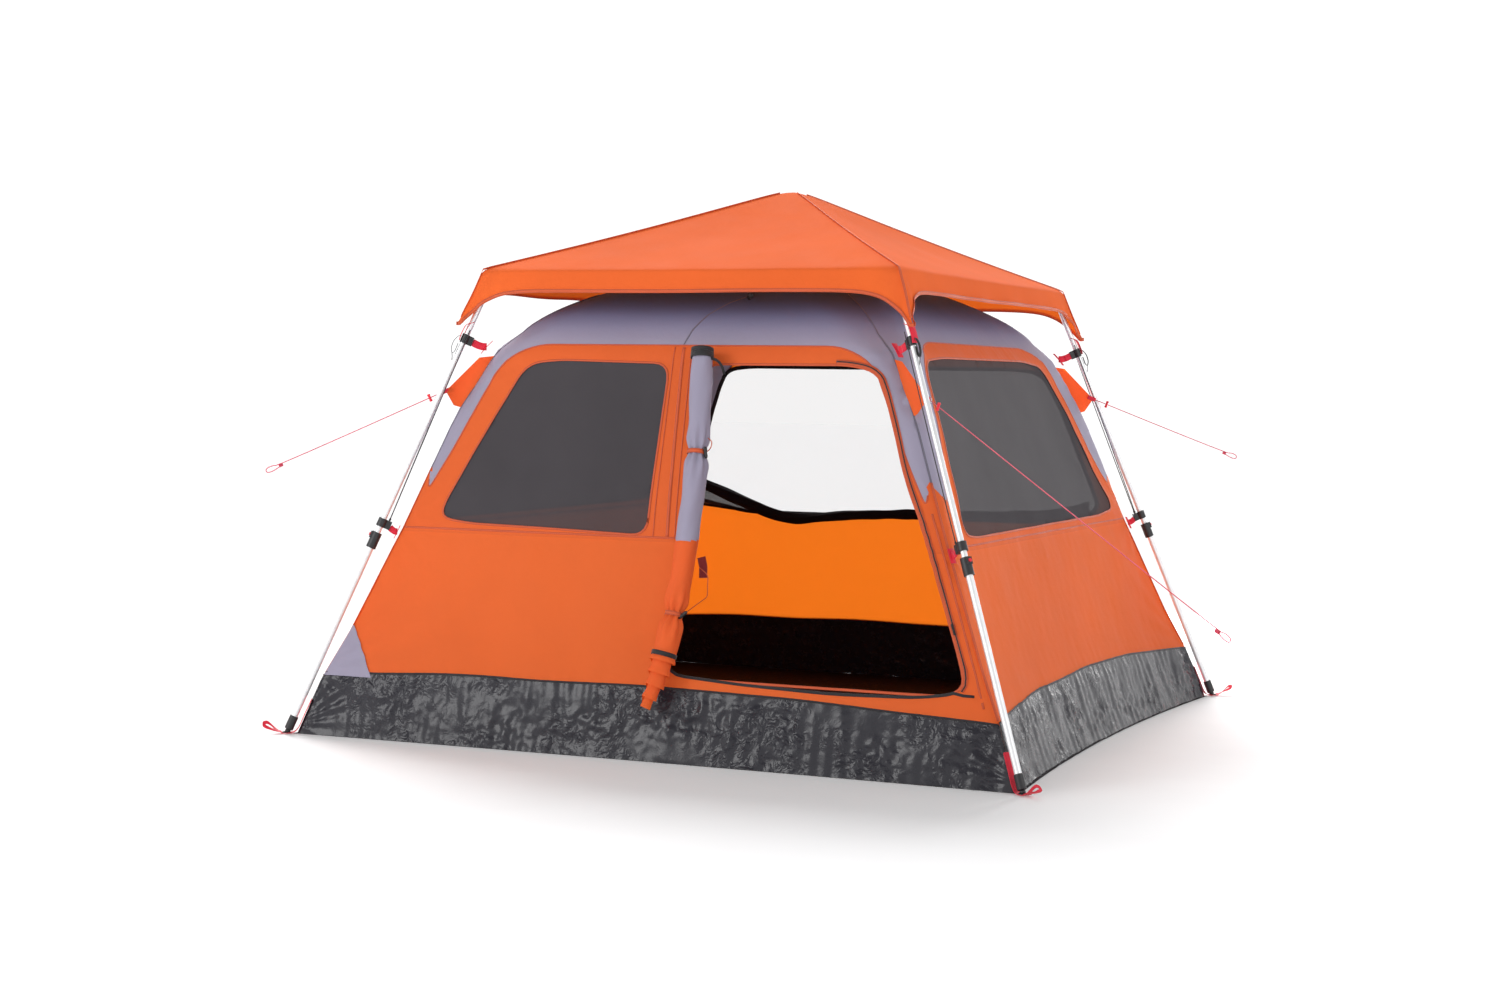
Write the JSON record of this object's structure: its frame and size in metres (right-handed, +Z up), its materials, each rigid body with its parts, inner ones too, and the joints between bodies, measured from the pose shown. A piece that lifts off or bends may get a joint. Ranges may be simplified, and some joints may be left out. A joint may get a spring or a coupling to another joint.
{
  "type": "quick-open family tent",
  "caption": "Four-leg quick-open tent: pyramid fly, grey inner roof, mesh windows, rolled door, floor tub, telescopic poles folding about a hub.",
  "frame": {"origin": "on the ground at the centre of the floor", "axes": "+Z up, -Y is the front with the doorway, +X to the right seen from the front"},
  "size_m": [3.1916, 2.9367, 1.808],
  "materials": {
    "orange_cloth": "coated polyester, plain weave",
    "grey_cloth": "coated polyester, plain weave",
    "window_mesh": "fine mesh, matt",
    "tub_sheet": "crinkled polyethylene sheet",
    "red_webbing": "woven webbing",
    "red_cord": "braided cord",
    "black_webbing": "woven elastic",
    "black_plastic": "moulded, satin",
    "red_plastic": "moulded",
    "pole_metal": "satin"
  },
  "bodies": {
    "shelter": {"floor_tub": "tub_sheet", "front_wall": "orange_cloth", "back_wall": "orange_cloth", "left_wall": "orange_cloth", "right_wall": "orange_cloth", "inner_roof": "grey_cloth", "window_meshes": "window_mesh", "fly_canopy": "orange_cloth", "rolled_door": "orange_cloth", "door_ties": "black_webbing", "guy_tabs": "orange_cloth", "webbing_straps": "red_webbing", "guy_line_fl": "red_cord", "guy_line_fr": "red_cord", "guy_line_br": "red_cord"},
    "hub": {"hub": "black_plastic"},
    "zip_slider": {"zip_slider": "black_plastic"},
    "arm_fl": {"roof_arm_fl": "pole_metal", "elbow_fl": "black_plastic"},
    "upper_leg_fl": {"leg_upper_fl": "pole_metal", "pole_clip_fl": "black_plastic", "tension_cord_fl": "black_webbing"},
    "lower_leg_fl": {"leg_lower_fl": "pole_metal", "lock_collar_fl": "black_plastic", "ring_clip_fl": "black_plastic", "foot_cap_fl": "black_plastic"},
    "button_fl": {"lock_button_fl": "red_plastic"},
    "arm_fr": {"roof_arm_fr": "pole_metal", "elbow_fr": "black_plastic"},
    "upper_leg_fr": {"leg_upper_fr": "pole_metal", "pole_clip_fr": "black_plastic", "tension_cord_fr": "black_webbing"},
    "lower_leg_fr": {"leg_lower_fr": "pole_metal", "lock_collar_fr": "black_plastic", "ring_clip_fr": "black_plastic", "foot_cap_fr": "black_plastic"},
    "button_fr": {"lock_button_fr": "red_plastic"},
    "arm_br": {"roof_arm_br": "pole_metal", "elbow_br": "black_plastic"},
    "upper_leg_br": {"leg_upper_br": "pole_metal", "pole_clip_br": "black_plastic", "tension_cord_br": "black_webbing"},
    "lower_leg_br": {"leg_lower_br": "pole_metal", "lock_collar_br": "black_plastic", "ring_clip_br": "black_plastic", "foot_cap_br": "black_plastic"},
    "button_br": {"lock_button_br": "red_plastic"},
    "arm_bl": {"roof_arm_bl": "pole_metal", "elbow_bl": "black_plastic"},
    "upper_leg_bl": {"leg_upper_bl": "pole_metal", "pole_clip_bl": "black_plastic", "tension_cord_bl": "black_webbing"},
    "lower_leg_bl": {"leg_lower_bl": "pole_metal", "lock_collar_bl": "black_plastic", "ring_clip_bl": "black_plastic", "foot_cap_bl": "black_plastic"},
    "button_bl": {"lock_button_bl": "red_plastic"},
    "tensioner_fl": {"tensioner_fl": "red_plastic"},
    "tensioner_fr": {"tensioner_fr": "red_plastic"},
    "tensioner_br": {"tensioner_br": "red_plastic"}
  },
  "joints": [
    {"name": "hub_drop", "type": "slide", "parent": "shelter", "child": "hub", "axis": [0, 0, -1], "range_m": [0, 1.2253], "deforming": ["front_wall", "back_wall", "left_wall", "right_wall", "inner_roof", "window_meshes", "fly_canopy", "rolled_door", "door_ties", "guy_tabs", "webbing_straps", "guy_line_fl", "guy_line_fr", "guy_line_br"]},
    {"name": "arm_fold_fl", "type": "hinge", "parent": "hub", "child": "arm_fl", "pos_m": [-0.03755, -0.0468, 1.744], "axis": [-0.7825, 0.6227, 0], "range_deg": [0, 102.09]},
    {"name": "leg_fold_fl", "type": "hinge", "parent": "arm_fl", "child": "upper_leg_fl", "pos_m": [-0.702, -0.875, 1.45], "axis": [0.7963, -0.5869, -0.1463], "range_deg": [0, 121.97]},
    {"name": "leg_slide_fl", "type": "slide", "parent": "upper_leg_fl", "child": "lower_leg_fl", "axis": [-0.3334, -0.2242, -0.9157], "range_m": [-0.55, 0], "deforming": ["tension_cord_fl"]},
    {"name": "button_press_fl", "type": "slide", "parent": "lower_leg_fl", "child": "button_fl", "axis": [0.7599, 0.5109, -0.4018], "range_m": [0, 0.003], "stiffness_N_per_m": 400},
    {"name": "arm_fold_fr", "type": "hinge", "parent": "hub", "child": "arm_fr", "pos_m": [0.03755, -0.0468, 1.744], "axis": [-0.7825, -0.6227, 0], "range_deg": [0, 102.09]},
    {"name": "leg_fold_fr", "type": "hinge", "parent": "arm_fr", "child": "upper_leg_fr", "pos_m": [0.702, -0.875, 1.45], "axis": [0.7963, 0.5869, 0.1463], "range_deg": [0, 121.97]},
    {"name": "leg_slide_fr", "type": "slide", "parent": "upper_leg_fr", "child": "lower_leg_fr", "axis": [0.3334, -0.2242, -0.9157], "range_m": [-0.55, 0], "deforming": ["tension_cord_fr"]},
    {"name": "button_press_fr", "type": "slide", "parent": "lower_leg_fr", "child": "button_fr", "axis": [-0.7599, 0.5109, -0.4018], "range_m": [0, 0.003], "stiffness_N_per_m": 400},
    {"name": "arm_fold_br", "type": "hinge", "parent": "hub", "child": "arm_br", "pos_m": [0.03755, 0.0468, 1.744], "axis": [0.7825, -0.6227, 0], "range_deg": [0, 102.09]},
    {"name": "leg_fold_br", "type": "hinge", "parent": "arm_br", "child": "upper_leg_br", "pos_m": [0.702, 0.875, 1.45], "axis": [-0.7963, 0.5869, -0.1463], "range_deg": [0, 121.97]},
    {"name": "leg_slide_br", "type": "slide", "parent": "upper_leg_br", "child": "lower_leg_br", "axis": [0.3334, 0.2242, -0.9157], "range_m": [-0.55, 0], "deforming": ["tension_cord_br"]},
    {"name": "button_press_br", "type": "slide", "parent": "lower_leg_br", "child": "button_br", "axis": [-0.7599, -0.5109, -0.4018], "range_m": [0, 0.003], "stiffness_N_per_m": 400},
    {"name": "arm_fold_bl", "type": "hinge", "parent": "hub", "child": "arm_bl", "pos_m": [-0.03755, 0.0468, 1.744], "axis": [0.7825, 0.6227, 0], "range_deg": [0, 102.09]},
    {"name": "leg_fold_bl", "type": "hinge", "parent": "arm_bl", "child": "upper_leg_bl", "pos_m": [-0.702, 0.875, 1.45], "axis": [-0.7963, -0.5869, 0.1463], "range_deg": [0, 121.97]},
    {"name": "leg_slide_bl", "type": "slide", "parent": "upper_leg_bl", "child": "lower_leg_bl", "axis": [-0.3334, 0.2242, -0.9157], "range_m": [-0.55, 0], "deforming": ["tension_cord_bl"]},
    {"name": "button_press_bl", "type": "slide", "parent": "lower_leg_bl", "child": "button_bl", "axis": [0.7599, -0.5109, -0.4018], "range_m": [0, 0.003], "stiffness_N_per_m": 400},
    {"name": "door_zip", "type": "slide", "parent": "shelter", "child": "zip_slider", "axis": [-0.3722, 0.2369, 0.8974], "range_m": [0, 0.326]},
    {"name": "tensioner_slide_fl", "type": "slide", "parent": "shelter", "child": "tensioner_fl", "axis": [-0.7521, -0.5057, -0.4226], "range_m": [0, 0.15]},
    {"name": "tensioner_slide_fr", "type": "slide", "parent": "shelter", "child": "tensioner_fr", "axis": [0.7521, -0.5057, -0.4226], "range_m": [0, 0.15]},
    {"name": "tensioner_slide_br", "type": "slide", "parent": "shelter", "child": "tensioner_br", "axis": [0.7773, 0.5226, -0.3502], "range_m": [0, 0.15]}
  ],
  "couplings": [
    {"joint": "arm_fold_fl", "follows": "hub_drop", "rad_per_m": 1.4535},
    {"joint": "leg_fold_fl", "follows": "hub_drop", "rad_per_m": 1.7366},
    {"joint": "arm_fold_fr", "follows": "hub_drop", "rad_per_m": 1.4535},
    {"joint": "leg_fold_fr", "follows": "hub_drop", "rad_per_m": 1.7366},
    {"joint": "arm_fold_br", "follows": "hub_drop", "rad_per_m": 1.4535},
    {"joint": "leg_fold_br", "follows": "hub_drop", "rad_per_m": 1.7366},
    {"joint": "arm_fold_bl", "follows": "hub_drop", "rad_per_m": 1.4535},
    {"joint": "leg_fold_bl", "follows": "hub_drop", "rad_per_m": 1.7366}
  ]
}
